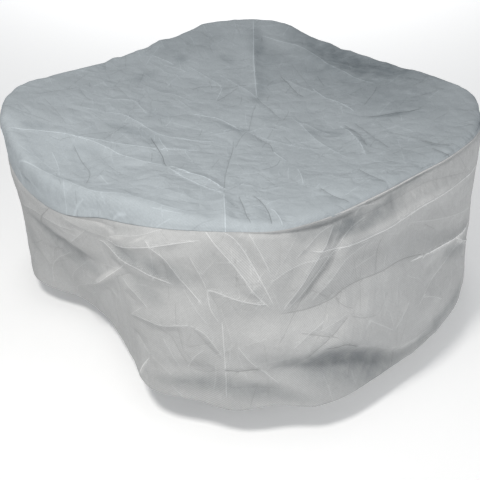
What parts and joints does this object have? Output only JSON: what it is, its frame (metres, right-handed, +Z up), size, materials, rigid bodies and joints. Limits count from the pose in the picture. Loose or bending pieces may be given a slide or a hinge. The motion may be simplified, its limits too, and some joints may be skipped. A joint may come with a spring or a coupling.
{
  "type": "fitted patio furniture cover",
  "caption": "Fitted cloth cover for a round garden table and chairs: a round top panel sewn to a long skirt with a plain hem, draped over the set and open below.",
  "frame": {"origin": "on the underside of the top panel at its middle, where the table under the cover carries it", "axes": "+Z up; +Y towards the back of the set and -Y towards the chair at the front; +X to the right; the hem hangs about 0.65 m below the origin"},
  "size_m": [2.0962, 2.268, 0.7727],
  "materials": {
    "top_cloth": "matt grey non-woven cloth, a little blue, with a fine embossed grain",
    "skirt_cloth": "matt light grey non-woven cloth with a fine diagonal embossed grain"
  },
  "bodies": {
    "root": {"top_panel": "top_cloth", "skirt": "skirt_cloth"}
  },
  "joints": []
}
